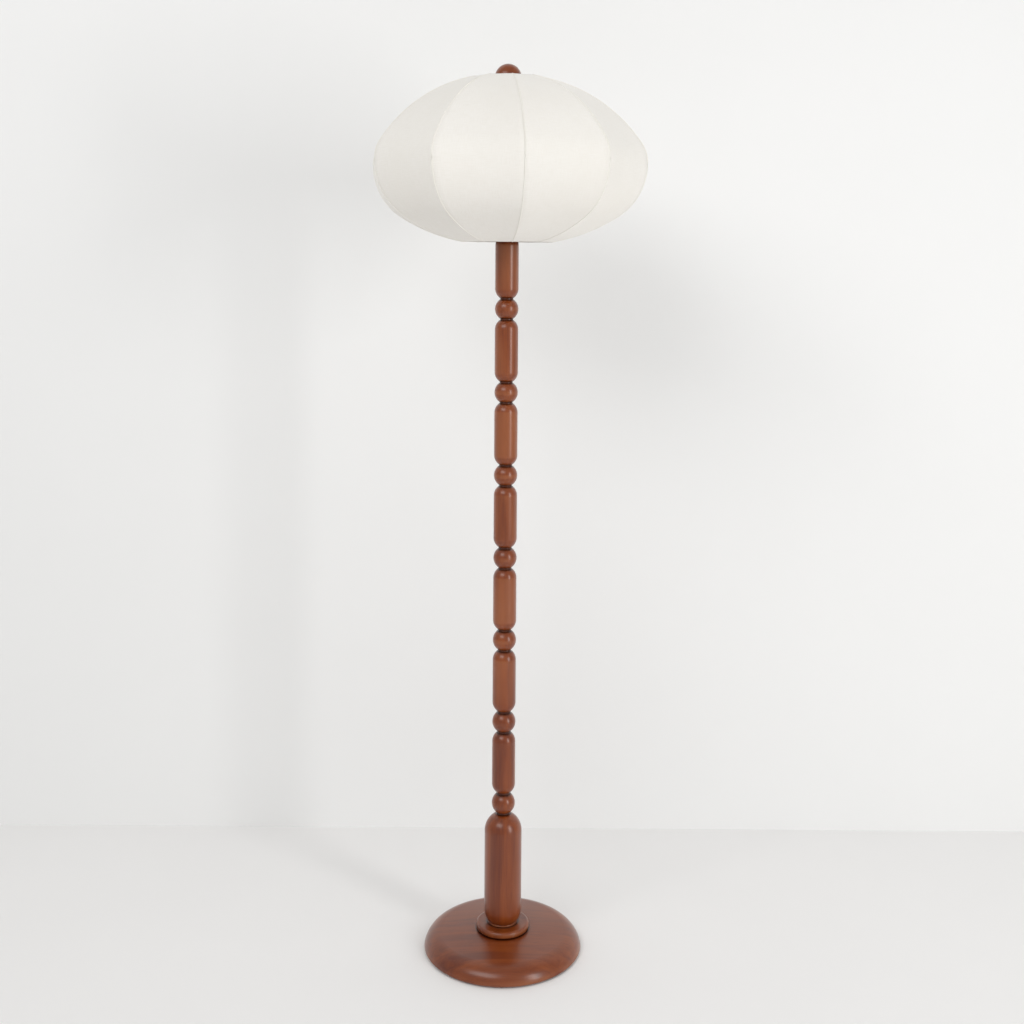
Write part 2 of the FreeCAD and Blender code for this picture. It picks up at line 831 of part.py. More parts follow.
block = new_body("socket_body")
block_outline = new_sketch(block, "block_outline", "XY_Plane")
circle(block_outline, 0, 0, body_radius)
pad(block, block_outline, body_height, "block")
block_hole = new_sketch(block, "block_hole")
bind(block_hole, "AttachmentOffset.Base.z", body_radius - shaft_depth)
circle(block_hole, 0, switch_level, shaft_radius + slip)
pocket(block, block_hole, body_radius, "shaft_hole", reverse=True)
place(block, "socket_body", z=saddle_top + body_lift)

turned("screw_shell",
       tube_outline(screw_bore, screw_bore + screw_sheet, shell_top - liner_drop - body_top),
       z=saddle_top + body_top)
turned("centre_contact", tube_outline(0, contact_radius, contact_height), z=saddle_top + body_top)

terminals = new_body("terminal_screws")
terminals_outline = new_sketch(terminals, "terminals_outline", "XY_Plane")
circle(terminals_outline, terminal_spread, 0, terminal_radius)
polar(terminals, pad(terminals, terminals_outline, terminal_height, "head"), 2)
place(terminals, "terminal_screws", z=saddle_top + body_lift - terminal_height)

# The switch shaft and knob are drawn facing the front and pushed out of the holder.
shaft_start = body_radius - shaft_depth
knob_start = shell_radius + knob_gap
shaft = new_body("switch_shaft")
shaft_outline = new_sketch(shaft, "shaft_outline")
circle(shaft_outline, 0, 0, shaft_radius)
pad(shaft, shaft_outline, shaft_length, "shaft")
place(shaft, "switch_shaft", y=-shaft_start, z=saddle_top + switch_height)

knob = new_body("switch_knob")
knob_hub = new_sketch(knob, "knob_hub")
circle(knob_hub, 0, 0, knob_radius)
pad(knob, knob_hub, knob_length, "hub")
key = new_sketch(knob, "knob_key")
bind(key, "AttachmentOffset.Base.z", knob_length - key_thickness)
round_end = key_thickness / 2
draw(key, [
    (-key_width / 2 + round_end, -round_end),
    (key_width / 2 - round_end, -round_end, round_end, 1),
    (key_width / 2, 0, round_end, 1),
    (key_width / 2 - round_end, round_end),
    (-key_width / 2 + round_end, round_end, round_end, 1),
    (-key_width / 2, 0, round_end, 1),
])
pad(knob, key, key_length, "key")
knob_bore = new_sketch(knob, "knob_bore")
circle(knob_bore, 0, 0, shaft_radius)
pocket(knob, knob_bore, shaft_start + shaft_length - knob_start, "bore", reverse=True)
place(knob, "switch_knob", y=-knob_start, z=saddle_top + switch_height)

# ---------------------------------------------------------------- bulb
tip_bottom = saddle_top + body_top + contact_height
bulb_bottom = tip_bottom + tip_height
glass_bottom = bulb_bottom + bulb_cap_height
turned("bulb_tip", tube_outline(0, tip_radius, tip_height), z=tip_bottom)
turned("bulb_cap", [
    (0, 0),
    (bulb_cap_radius, 0),
    (bulb_cap_radius, bulb_cap_height),
    (bulb_cap_radius - holder_sheet, bulb_cap_height),
    (bulb_cap_radius - holder_sheet, glass_wall),
    (0, glass_wall),
], z=bulb_bottom)

# The globe and the hollow sweep under it touch without a kink, inside and outside.
sweep_centre_r = glass_neck + glass_flare
globe_z = glass_collar + leg(glass_flare + glass_radius, sweep_centre_r)
share = 1 / (glass_flare + glass_radius)


def glass_meet(inset):
    """Where the globe, made smaller by the inset, meets the sweep."""
    reach = (glass_radius - inset) * share
    return sweep_centre_r * reach, globe_z + (glass_collar - globe_z) * reach


outer_meet = glass_meet(0)
inner_meet = glass_meet(glass_wall)
turned("bulb_glass", [
    (glass_neck - glass_wall, 0),
    (glass_neck, 0),
    (glass_neck, glass_collar, glass_flare, -1),
    (*outer_meet, glass_radius, 1),
    (0, globe_z + glass_radius),
    (0, globe_z + glass_radius - glass_wall, glass_radius - glass_wall, -1),
    (*inner_meet, glass_flare + glass_wall, 1),
    (glass_neck - glass_wall, glass_collar),
], z=glass_bottom)
turned("bulb_filament",
       tube_outline(0, filament_radius, bulb_cap_height - glass_wall + filament_length),
       z=bulb_bottom + glass_wall)

# ---------------------------------------------------------------- shade
# In each rib's upright plane the shade is four tangent arcs: waist and cap arcs above and
# below the widest place. Heights are counted from the waist.
half_panel = 180 / rib_count


def cap_centre(waist_arc, blend, cap_arc):
    reach = waist_arc - cap_arc
    return waist_radius - waist_arc + reach * blend.cos(), reach * blend.sin()


def blend_point(waist_arc, blend, inset):
    reach = waist_arc - inset
    return waist_radius - waist_arc + reach * blend.cos(), reach * blend.sin()


def end_point(waist_arc, blend, cap_arc, opening, inset):
    """The end of the cap arc at the opening, moved inwards square to the arc."""
    centre_r, centre_z = cap_centre(waist_arc, blend, cap_arc)
    across = (opening - centre_r) / cap_arc
    up = leg(1, across)
    return centre_r + (cap_arc - inset) * across, centre_z + (cap_arc - inset) * up


UPPER = (upper_waist_arc, upper_blend, upper_cap_arc, top_opening)
LOWER = (lower_waist_arc, lower_blend, lower_cap_arc, bottom_opening)


def shade_curve(inset, upward=True):
    """The steps of the four arcs at one inset, from the bottom opening to the top or back."""
    inset = size(inset)
    low_end = end_point(*LOWER, inset)
    low_blend = blend_point(lower_waist_arc, lower_blend, inset)
    high_end = end_point(*UPPER, inset)
    high_blend = blend_point(upper_waist_arc, upper_blend, inset)
    points = [
        (low_end[0], -low_end[1]),
        (low_blend[0], -low_blend[1]),
        (waist_radius - inset, size(0)),
        high_blend,
        high_end,
    ]
    arcs = [lower_cap_arc, lower_waist_arc, upper_waist_arc, upper_cap_arc]
    bulge = 1
    if not upward:
        points.reverse()
        arcs.reverse()
        bulge = -1
    steps = [(*point, arc - inset, bulge) for point, arc in zip(points, arcs)]
    return steps + [points[-1]]


def turn_sketch(sketch, angle):
    """Turns an upright sketch about the stem's axis; the angle is counted from +X."""
    sketch.AttachmentOffset = FreeCAD.Placement(
        FreeCAD.Vector(), FreeCAD.Rotation(FreeCAD.Vector(0, 1, 0), size(angle).value))
    bind(sketch, "AttachmentOffset.Rotation.Angle", angle)


first_angle = first_rib - 90
cloth = new_body("shade_fabric")
rims = []
for name, angle in (("near_rib", first_angle), ("next_rib", first_angle + half_panel * 2)):
    rim = new_sketch(cloth, f"cloth_{name}")
    draw(rim, shade_curve(0) + shade_curve(fabric, upward=False))
    turn_sketch(rim, angle)
    rims.append(rim)
panel = cloth.newObject("PartDesign::AdditiveLoft", "cloth_panel")
panel.Profile = (rims[0], [""])
panel.Sections = [(rims[1], [""])]
panel.Ruled = True
polar(cloth, panel, rib_count)
place(cloth, "shade_fabric", z=waist_level)

rib_inset = fabric + (rib_wire + skin) / half_panel.cos()
ribs = new_body("shade_ribs")
rib_path = new_sketch(ribs, "rib_path")
draw(rib_path, shade_curve(rib_inset), closed=False)
turn_sketch(rib_path, first_angle)
polar(ribs, sweep_wire(ribs, rib_path, rib_wire), rib_count)
place(ribs, "shade_ribs", z=waist_level)

ring_inset = fabric + skin * 2 + frame_wire


def hoop_centre(waist_arc, blend, cap_arc, opening):
    """The hoop's wire lies clear of the panels, which are lowest midway between two ribs."""
    across = half_panel.cos()
    edge_r, edge_z = end_point(waist_arc, blend, cap_arc, opening / across, ring_inset)
    return edge_r * across, edge_z


top_ring_r, top_ring_z = hoop_centre(*UPPER)
bottom_ring_r, bottom_ring_z = hoop_centre(*LOWER)
for label, ring_r, ring_z in (
    ("shade_top_ring", top_ring_r, top_ring_z),
    ("shade_bottom_ring", bottom_ring_r, -bottom_ring_z),
):
    hoop = new_body(label)
    hoop_section = new_sketch(hoop, f"{label}_section")
    circle(hoop_section, ring_r, 0, frame_wire)
    revolve(hoop, hoop_section)
    place(hoop, label, z=waist_level + ring_z)

turned("shade_hub", tube_outline(stud_radius + slip, hub_radius, hub_height), z=hub_bottom)

arms = new_body("shade_arms")
arm_path = new_sketch(arms, "arm_path")
hub_middle = hub_height / 2
ring_above_hub = top_ring_z - waist_drop
rounded_run(arm_path, [
    (hub_radius - frame_wire, hub_middle),
    (hub_radius + arm_dip, hub_middle, arm_dip * 2),
    (top_ring_r, ring_above_hub),
])
turn_sketch(arm_path, arm_angle)
polar(arms, sweep_wire(arms, arm_path, frame_wire), arm_count)
place(arms, "shade_arms", z=hub_bottom)

# ---------------------------------------------------------------- finial
finial_centre = leg(finial_radius, finial_face)
turned("finial_washer",
       tube_outline(stud_radius + slip, finial_washer_radius, finial_washer_height),
       z=hub_bottom + hub_height)
turned("finial_insert", tube_outline(stud_radius + slip, insert_radius, insert_length),
       z=finial_bottom)
turned("finial_ball", [
    (insert_radius, 0),
    (finial_face, 0, finial_radius, 1),
    (0, finial_centre + finial_radius),
    (0, insert_length),
    (insert_radius, insert_length),
], z=finial_bottom)

# ---------------------------------------------------------------- checks and files
doc.recompute()
for thing in doc.Objects:
    if "Invalid" in thing.State or "Error" in thing.State:
        raise RuntimeError(f"{thing.Name} failed: {thing.State}")
pieces = [thing for thing in doc.Objects if thing.TypeId in ("PartDesign::Body", "Part::Cut")]
for piece in pieces:
    if piece.Shape.isNull() or not piece.Shape.isValid() or not piece.Shape.Solids:
        raise RuntimeError(f"{piece.Label} has no sound shape")
    piece.Shape.exportStep(f"parts/{piece.Label}.step")
print(len(pieces), "pieces written")
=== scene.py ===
import json
import math

import bpy
from mathutils import Matrix, Vector


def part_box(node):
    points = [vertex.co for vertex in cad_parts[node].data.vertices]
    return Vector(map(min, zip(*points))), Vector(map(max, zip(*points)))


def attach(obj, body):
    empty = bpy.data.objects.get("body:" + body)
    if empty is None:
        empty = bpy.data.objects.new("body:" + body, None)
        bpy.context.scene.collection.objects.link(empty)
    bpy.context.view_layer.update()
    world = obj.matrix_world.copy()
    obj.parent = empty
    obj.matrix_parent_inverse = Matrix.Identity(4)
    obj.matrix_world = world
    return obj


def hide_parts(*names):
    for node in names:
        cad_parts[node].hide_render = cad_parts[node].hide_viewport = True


# Mushroom floor lamp, dressed over its CAD frame: stained turned wood, a stretched fabric shade
# with piped seams, and the metal, glass and rubber pieces inside it. Metres, +Z up, front -Y.

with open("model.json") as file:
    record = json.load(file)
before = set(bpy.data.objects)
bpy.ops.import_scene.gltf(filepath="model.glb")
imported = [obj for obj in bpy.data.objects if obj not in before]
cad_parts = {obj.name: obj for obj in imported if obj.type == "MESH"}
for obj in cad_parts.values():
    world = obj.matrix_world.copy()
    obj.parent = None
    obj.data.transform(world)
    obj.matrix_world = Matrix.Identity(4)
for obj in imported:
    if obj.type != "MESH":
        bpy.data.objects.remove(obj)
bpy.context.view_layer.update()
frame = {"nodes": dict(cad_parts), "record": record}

MM = 0.001

# ---------------------------------------------------------------- sizes of the shade
# In each rib's upright plane the shade is four tangent arcs: a waist arc and a cap arc above
# the widest place, and two more below it.
RIB_COUNT = 10
FIRST_RIB = math.radians(6.7 - 90)  # azimuth of the rib nearest the front, from +X
HALF_PANEL = math.pi / RIB_COUNT
WAIST_RADIUS = 237 * MM
CLOTH_THICKNESS = 0.8 * MM
PANEL_SAG = 2.4 * MM  # how far the cloth draws in midway between two ribs
SEAM_RADIUS = 0.75 * MM  # piping sewn along each rib
HEM_CLEARANCE = 0.35 * MM  # hoop's wire to the cloth rolled round it
PANEL_WIDTH = 2 * WAIST_RADIUS * math.sin(HALF_PANEL)  # chord between two ribs at the waist

COLUMNS = 14  # mesh columns in each panel
ROWS = 44  # mesh rows above the waist, and as many below
HEM_STEPS = 24  # mesh steps of a hem in each panel
SEAM_SIDES = 10
HEM_SIDES = 14


class Arcs:
    """The waist arc and cap arc on one side of the waist. side is 1 above it and -1 below."""

    def __init__(self, waist_arc, blend_degrees, cap_arc, opening, side):
        self.waist_arc = waist_arc
        self.blend = math.radians(blend_degrees)
        self.cap_arc = cap_arc
        self.side = side
        reach = waist_arc - cap_arc
        self.centre_r = WAIST_RADIUS - waist_arc + reach * math.cos(self.blend)
        self.centre_z = reach * math.sin(self.blend)
        self.end = math.acos((opening - self.centre_r) / cap_arc)
        self.waist_length = waist_arc * self.blend
        self.length = self.waist_length + cap_arc * (self.end - self.blend)

    def at(self, share, inset=0.0):
        """Radius, height over the waist and slope angle at a share of the way to the opening."""
        along = share * self.length
        if along < self.waist_length:
            angle = along / self.waist_arc
            r = WAIST_RADIUS - self.waist_arc + (self.waist_arc - inset) * math.cos(angle)
            z = (self.waist_arc - inset) * math.sin(angle)
        else:
            angle = self.blend + (along - self.waist_length) / self.cap_arc
            r = self.centre_r + (self.cap_arc - inset) * math.cos(angle)
            z = self.centre_z + (self.cap_arc - inset) * math.sin(angle)
        return r, z * self.side, angle * self.side


UPPER = Arcs(60 * MM, 34.4, 269 * MM, 60 * MM, 1)
LOWER = Arcs(105 * MM, 58.2, 312.5 * MM, 75 * MM, -1)
waist_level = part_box("shade_fabric")[1].z - UPPER.at(1.0)[1]


# ---------------------------------------------------------------- shader helpers
class Shader:
    """A new material with short ways to add and join its nodes."""

    def __init__(self, name):
        self.material = bpy.data.materials.new(name)
        self.material.use_nodes = True
        self.nodes = self.material.node_tree.nodes
        self.links = self.material.node_tree.links
        self.surface = self.nodes["Principled BSDF"]
        self.output = self.nodes["Material Output"]

    def add(self, kind, inputs=None, **settings):
        node = self.nodes.new(f"ShaderNode{kind}")
        for key, value in settings.items():
            setattr(node, key, value)
        for key, value in (inputs or {}).items():
            self.put(node.inputs[key], value)
        return node

    def put(self, socket, value):
        if isinstance(value, bpy.types.NodeSocket):
            self.links.new(value, socket)
        else:
            socket.default_value = value

    def set(self, **values):
        """Sets or joins the Principled shader's own sockets; an underscore stands for a space."""
        for key, value in values.items():
            self.put(self.surface.inputs[key.replace("_", " ")], value)

    def math(self, operation, a, b=0.0, clamp=False):
        node = self.add("Math", operation=operation, use_clamp=clamp)
        self.put(node.inputs[0], a)
        self.put(node.inputs[1], b)
        return node.outputs[0]

    def place(self, scale=(1, 1, 1), source="Object"):
        coordinates = self.add("TexCoord").outputs[source]
        return self.add("Mapping", {"Vector": coordinates, "Scale": scale}).outputs[0]

    def noise(self, vector, scale, detail=4.0, roughness=0.5, distortion=0.0):
        node = self.add("TexNoise", {
            "Vector": vector, "Scale": scale, "Detail": detail,
            "Roughness": roughness, "Distortion": distortion})
        return node.outputs["Fac"]

    def spread(self, value, low, high, new_low=0.0, new_high=1.0):
        """A smooth step of value between low and high."""
        node = self.add("MapRange", {
            "Value": value, "From Min": low, "From Max": high,
            "To Min": new_low, "To Max": new_high}, interpolation_type="SMOOTHSTEP")
        return node.outputs[0]

    def ramp(self, value, stops):
        node = self.add("ValToRGB", {"Fac": value})
        ends = node.color_ramp.elements
        while len(ends) < len(stops):
            ends.new(1.0)
        for end, (position, colour) in zip(ends, stops):
            end.position = position
            end.color = (*colour, 1)
        return node.outputs[0]

    def mix(self, factor, a, b, blend="MIX"):
        node = self.add("Mix", data_type="RGBA", blend_type=blend)
        for socket, value in ((node.inputs[0], factor), (node.inputs[6], a), (node.inputs[7], b)):
            if isinstance(value, tuple) and len(value) == 3:
                value = (*value, 1)
            self.put(socket, value)
        return node.outputs[2]

    def bump(self, height, distance, strength=1.0, normal=None):
        node = self.add("Bump", {"Height": height, "Distance": distance, "Strength": strength})
        if normal is not None:
            self.put(node.inputs["Normal"], normal)
        return node.outputs[0]


def srgb(red, green, blue):
    """A colour written as it looks on the screen, 0 to 255, as the shader's linear one."""
    def linear(level):
        level /= 255
        return level / 12.92 if level <= 0.04045 else ((level + 0.055) / 1.055) ** 2.4
    return linear(red), linear(green), linear(blue)


# ---------------------------------------------------------------- materials
WOOD_DEEP = srgb(92, 34, 10)
WOOD_MIDDLE = srgb(126, 57, 15)
WOOD_LIGHT = srgb(146, 73, 25)
# Painted shade: a near-black brown laid into the necks and joints, not a stain colour.
WOOD_PAINTED_SHADE = srgb(38, 8, 2)
WOOD_WORN = srgb(156, 92, 54)

# How the grain's pattern is scaled along X, Y and Z: long along the grain, short across it.
UPRIGHT = (1, 1, 0.06)
LEVEL = (0.06, 1, 1)


def stained_wood(name, shade_radii=None, rim=None, tone=1.0, grain=UPRIGHT):
    """Stained turned wood with a satin coat: streaked grain, fine pores, painted shade in the
    crevices (darker inside two radii from the stem's axis) and worn thin along the rim."""
    shader = Shader(name)
    streaks = shader.noise(shader.place(grain), 62, 7, 0.62, 0.7)
    clouds = shader.noise(shader.place(tuple(math.sqrt(share) for share in grain)), 16, 2, 0.5)
    pores = shader.noise(shader.place(tuple(share ** 1.3 for share in grain)), 520, 3, 0.6)
    colour = shader.ramp(shader.math("ADD", shader.math("MULTIPLY", streaks, 0.72),
                                     shader.math("MULTIPLY", clouds, 0.28)), [
        (0.30, WOOD_DEEP), (0.50, WOOD_MIDDLE), (0.72, WOOD_LIGHT)])
    colour = shader.mix(shader.spread(pores, 0.56, 0.70, 0.0, 0.45), colour, WOOD_DEEP)
    if tone != 1.0:
        colour = shader.mix(1.0, colour, (tone, tone, tone), "MULTIPLY")
    parts = shader.add("SeparateXYZ", {"Vector": shader.place()}).outputs
    radius = shader.math("SQRT", shader.math("ADD", shader.math("MULTIPLY", parts[0], parts[0]),
                                             shader.math("MULTIPLY", parts[1], parts[1])))
    # Painted shade: inside the first of two radii from the axis, fading out by the second, the colour
    # is drawn towards near-black brown where necks and joints meet.
    if shade_radii:
        colour = shader.mix(shader.spread(radius, shade_radii[0], shade_radii[1], 0.85, 0.0),
                            colour, WOOD_PAINTED_SHADE)
    if rim:
        worn = shader.math("MULTIPLY", shader.spread(radius, rim * 0.975, rim, 0.0, 0.55),
                           shader.spread(clouds, 0.40, 0.62))
        colour = shader.mix(worn, colour, WOOD_WORN)
    shader.set(
        Base_Color=colour,
        Roughness=shader.spread(streaks, 0.3, 0.7, 0.34, 0.46),
        Normal=shader.bump(pores, 0.12 * MM, 0.35),
        Specular_IOR_Level=0.08,
        Coat_Weight=1.0,
        Coat_Roughness=0.28,
        Coat_IOR=1.5,
    )
    return shader.material


def polished_metal(name, colour, tarnish, roughness=0.26, grain=(1, 1, 0.05), scratch=900):
    """Bare or plated metal with fine drawing marks and cloudy tarnish."""
    shader = Shader(name)
    clouds = shader.noise(shader.place(), 90, 5, 0.6)
    marks = shader.noise(shader.place(grain), scratch, 3, 0.7)
    shader.set(
        Base_Color=shader.mix(shader.spread(clouds, 0.42, 0.72, 0.0, 0.55), colour, tarnish),
        Metallic=1.0,
        Roughness=shader.spread(marks, 0.25, 0.75, roughness - 0.07, roughness + 0.12),
        Normal=shader.bump(marks, 0.05 * MM, 0.3),
    )
    return shader.material


def cast_iron():
    """Rough black-painted casting."""
    shader = Shader("cast_iron_paint")
    grain = shader.noise(shader.place(), 420, 6, 0.65)
    patches = shader.noise(shader.place(), 40, 4, 0.5)
    shader.set(
        Base_Color=shader.mix(shader.spread(patches, 0.4, 0.7), srgb(38, 37, 36), srgb(66, 58, 52)),
        Metallic=0.35,
        Roughness=shader.spread(grain, 0.3, 0.7, 0.55, 0.8),
        Normal=shader.bump(grain, 0.4 * MM, 0.7),
    )
    return shader.material


def moulded_plastic(name, colour, roughness=0.42):
    """Moulded plastic with a fine spark-eroded texture and slight handling gloss."""
    shader = Shader(name)
    texture = shader.noise(shader.place(), 1400, 2, 0.5)
    clouds = shader.noise(shader.place(), 60, 3, 0.5)
    dusty = tuple(0.85 * level + 0.03 for level in colour)
    shader.set(
        Base_Color=shader.mix(shader.spread(clouds, 0.4, 0.75), colour, dusty),
        Roughness=shader.spread(clouds, 0.3, 0.7, roughness - 0.06, roughness + 0.08),
        Normal=shader.bump(texture, 0.05 * MM, 0.4),
    )
    return shader.material


def rubber():
    """Matt black rubber, greyed by dust."""
    shader = Shader("pad_rubber")
    dust = shader.noise(shader.place(), 260, 5, 0.6)
    shader.set(
        Base_Color=shader.mix(shader.spread(dust, 0.45, 0.8, 0.0, 0.6), srgb(30, 30, 31),
                              srgb(74, 72, 70)),
        Roughness=shader.spread(dust, 0.3, 0.7, 0.72, 0.9),
        Normal=shader.bump(dust, 0.1 * MM, 0.5),
    )
    return shader.material


def pressed_board(name, colour, fleck):
    """Pressed fibre board or paper with short fibres lying every way."""
    shader = Shader(name)
    fibres = shader.noise(shader.place((1, 0.2, 1)), 700, 4, 0.7, 2.0)
    cross = shader.noise(shader.place((0.2, 1, 1)), 650, 4, 0.7, 2.0)
    both = shader.math("MAXIMUM", fibres, cross)
    shader.set(
        Base_Color=shader.mix(shader.spread(both, 0.5, 0.8, 0.0, 0.7), colour, fleck),
        Roughness=shader.spread(both, 0.3, 0.8, 0.7, 0.9),
        Normal=shader.bump(both, 0.1 * MM, 0.6),
    )
    return shader.material


def opal_glass():
    """White-coated bulb glass: a smooth skin over a soft white body."""
    shader = Shader("opal_bulb_glass")
    coat = shader.noise(shader.place(), 120, 3, 0.5)
    shader.set(
        Base_Color=shader.mix(shader.spread(coat, 0.4, 0.7), srgb(240, 239, 234), srgb(228, 227, 221)),
        Roughness=shader.spread(coat, 0.3, 0.7, 0.10, 0.16),
        Subsurface_Weight=0.25,
        Subsurface_Radius=(6 * MM, 5 * MM, 4 * MM),
        Coat_Weight=0.5,
        Coat_Roughness=0.05,
    )
    return shader.material


def coated_wire():
    """White powder-coated wire with orange-peel skin and rubbed spots."""
    shader = Shader("powder_coated_wire")
    peel = shader.noise(shader.place(), 1100, 2, 0.5)
    rubbed = shader.noise(shader.place(), 140, 5, 0.7)
    shader.set(
        Base_Color=shader.mix(shader.spread(rubbed, 0.62, 0.75, 0.0, 0.5), srgb(232, 230, 224),
                              srgb(176, 172, 164)),
        Roughness=shader.spread(rubbed, 0.3, 0.7, 0.34, 0.48),
        Normal=shader.bump(peel, 0.06 * MM, 0.5),
    )
    return shader.material


CLOTH_COLOUR = srgb(245, 242, 236)
CLOTH_SHADE = srgb(238, 234, 226)
THREAD = 0.55 * MM  # distance between threads


def shade_cloth_material():
    """Fine plain-weave linen cloth: crossed threads with slubs, and a soft sheen."""
    shader = Shader("cream_linen")
    warp_slubs = shader.noise(shader.place((1, 0.06, 1), "UV"), 900, 3, 0.6)
    weft_slubs = shader.noise(shader.place((0.06, 1, 1), "UV"), 900, 3, 0.6)
    clouds = shader.noise(shader.place(), 9, 3, 0.5)
    threads = shader.add("SeparateXYZ", {"Vector": shader.place(source="UV")}).outputs
    turn = 2 * math.pi / THREAD
    warp = shader.math("SINE", shader.math("MULTIPLY", threads[0], turn))
    weft = shader.math("SINE", shader.math("MULTIPLY", threads[1], turn))
    weave = shader.math("MULTIPLY", warp, weft)
    slubs = shader.math("ADD", warp_slubs, weft_slubs)
    height = shader.math("ADD", shader.math("MULTIPLY", weave, 0.5), slubs)
    colour = shader.mix(shader.spread(slubs, 0.86, 1.16, 0.0, 0.45), CLOTH_COLOUR, CLOTH_SHADE)
    colour = shader.mix(shader.spread(clouds, 0.35, 0.7, 0.0, 0.3), colour, CLOTH_SHADE)
    shader.set(
        Base_Color=colour,
        Roughness=shader.spread(slubs, 0.8, 1.2, 0.78, 0.9),
        Normal=shader.bump(height, 0.06 * MM, 0.5),
        Specular_IOR_Level=0.25,
        Sheen_Weight=0.25,
        Sheen_Roughness=0.45,
    )
    return shader.material


def piping_material():
    """The bias-cut cloth of the seams and hems, with threads lying aslant."""
    shader = Shader("cream_piping")
    slant = shader.noise(shader.place((1, 1, 0.25)), 1500, 3, 0.6)
    clouds = shader.noise(shader.place(), 30, 3, 0.5)
    colour = shader.mix(shader.spread(clouds, 0.35, 0.7, 0.0, 0.7), srgb(244, 241, 234),
                        srgb(237, 233, 224))
    shader.set(
        Base_Color=colour,
        Roughness=shader.spread(slant, 0.3, 0.7, 0.78, 0.9),
        Normal=shader.bump(slant, 0.12 * MM, 0.6),
        Specular_IOR_Level=0.25,
        Sheen_Weight=0.25,
        Sheen_Roughness=0.45,
    )
    return shader.material


# ---------------------------------------------------------------- finish of the CAD pieces
# Radii from the axis within which the stem's neck ends get painted shade.
STEM_SHADE_RADII = (11.8 * MM, 15.5 * MM)
STEM_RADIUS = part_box("spindle_1")[1].x
COLLAR_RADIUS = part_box("base_collar")[1].x
FOOT_RING_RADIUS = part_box("foot_ring")[1].x
BASE_EDGE = 135 * MM  # where the base's top rolls over into its rim
brass = polished_metal("lacquered_brass", srgb(196, 158, 92), srgb(146, 108, 58))
nickel = polished_metal("nickel_plate", srgb(198, 194, 186), srgb(160, 154, 144), 0.22)
steel = polished_metal("zinc_plated_steel", srgb(172, 174, 176), srgb(132, 130, 124), 0.34)
black_plastic = moulded_plastic("black_phenolic", srgb(34, 32, 31))
white_plastic = moulded_plastic("white_moulding", srgb(226, 223, 214), 0.36)
finish_of_slot = {
    "zinc_steel": steel,
    "brass": brass,
    "nickel": nickel,
    "cast_iron": cast_iron(),
    "black_board": pressed_board("black_fibre_board", srgb(44, 42, 40), srgb(76, 72, 66)),
    "rubber": rubber(),
    "black_plastic": black_plastic,
    "white_plastic": white_plastic,
    "fibre_paper": pressed_board("insulating_paper", srgb(176, 152, 116), srgb(132, 106, 74)),
    "opal_glass": opal_glass(),
    "white_wire": coated_wire(),
    "walnut_wood": stained_wood("stem_wood", shade_radii=STEM_SHADE_RADII, rim=STEM_RADIUS),
    "cream_fabric": shade_cloth_material(),
}
# Painted shade: the radii in these calls darken where pieces meet, on the base under the collar, the
# collar under the foot ring, the neck ends and the finial round its bore.
finish_of_node = {
    "base_disc": stained_wood("base_wood", shade_radii=(45 * MM, 49 * MM), rim=BASE_EDGE, tone=0.9,
                              grain=LEVEL),
    "base_collar": stained_wood("collar_wood", shade_radii=(26 * MM, 31 * MM), rim=COLLAR_RADIUS,
                                tone=0.9),
    "foot_ring": stained_wood("foot_ring_wood", rim=FOOT_RING_RADIUS, tone=0.8),
    "column_foot": stained_wood("foot_wood", shade_radii=STEM_SHADE_RADII),
    # The neck discs are toned down to 0.6 as painted shade in the narrow necks between beads and
    # spindles.
    "neck_discs": stained_wood("neck_wood", shade_radii=(9 * MM, 13 * MM), tone=0.6),
    "finial_ball": stained_wood("finial_wood", shade_radii=(6 * MM, 9 * MM)),
}
slot_of_node = {part["node"]: part["material_slot"] for part in frame["record"]["subparts"]}
SMOOTH_LIMIT = math.radians(32)
for name, node in frame["nodes"].items():
    finish = finish_of_node.get(name) or finish_of_slot[slot_of_node[name]]
    node.data.materials.clear()
    node.data.materials.append(finish)
    for face in node.data.polygons:
        face.use_smooth = True
    node.data.set_sharp_from_angle(angle=SMOOTH_LIMIT)


# ---------------------------------------------------------------- mesh helpers
def new_object(name, vertices, faces, material, smooth=True):
    mesh = bpy.data.meshes.new(name)
    mesh.from_pydata(vertices, [], faces)
    mesh.validate()
    mesh.update()
    for face in mesh.polygons:
        face.use_smooth = smooth
    mesh.materials.append(material)
    piece = bpy.data.objects.new(name, mesh)
    bpy.context.scene.collection.objects.link(piece)
    return piece


def at_azimuth(r, z, azimuth):
    return Vector((r * math.cos(azimuth), r * math.sin(azimuth), z))


def tube(points, radius, sides, closed=False):
    """Corners and faces of a round tube along points. Open ends are closed by a cap."""
    corners, faces = [], []
    count = len(points)
    for i, point in enumerate(points):
        before = points[i - 1] if closed or i else point
        after = points[(i + 1) % count] if closed or i < count - 1 else point
        along = (after - before).normalized()
        side = along.cross(Vector((0, 0, 1)))
        if side.length < 1e-6:
            side = Vector((1, 0, 0))
        side.normalize()
        other = along.cross(side)
        for j in range(sides):
            turn = 2 * math.pi * j / sides
            corners.append(point + (side * math.cos(turn) + other * math.sin(turn)) * radius)
    for i in range(count if closed else count - 1):
        a, b = i * sides, ((i + 1) % count) * sides
        for j in range(sides):
            k = (j + 1) % sides
            faces.append((a + j, a + k, b + k, b + j))
    if not closed:
        faces.append(tuple(reversed(range(sides))))
        faces.append(tuple(range((count - 1) * sides, count * sides)))
    return corners, faces


# ---------------------------------------------------------------- shade cloth
def profile_rows():
    """Radius, height, slope angle, distance along the cloth and share of the way to the nearer
    opening, from the bottom opening up to the top one."""
    rows = []
    for i in range(2 * ROWS + 1):
        if i < ROWS:
            arcs, share = LOWER, 1 - i / ROWS
        else:
            arcs, share = UPPER, i / ROWS - 1
        r, z, angle = arcs.at(share)
        rows.append((r, z, angle, arcs.side * share * arcs.length, share))
    return rows


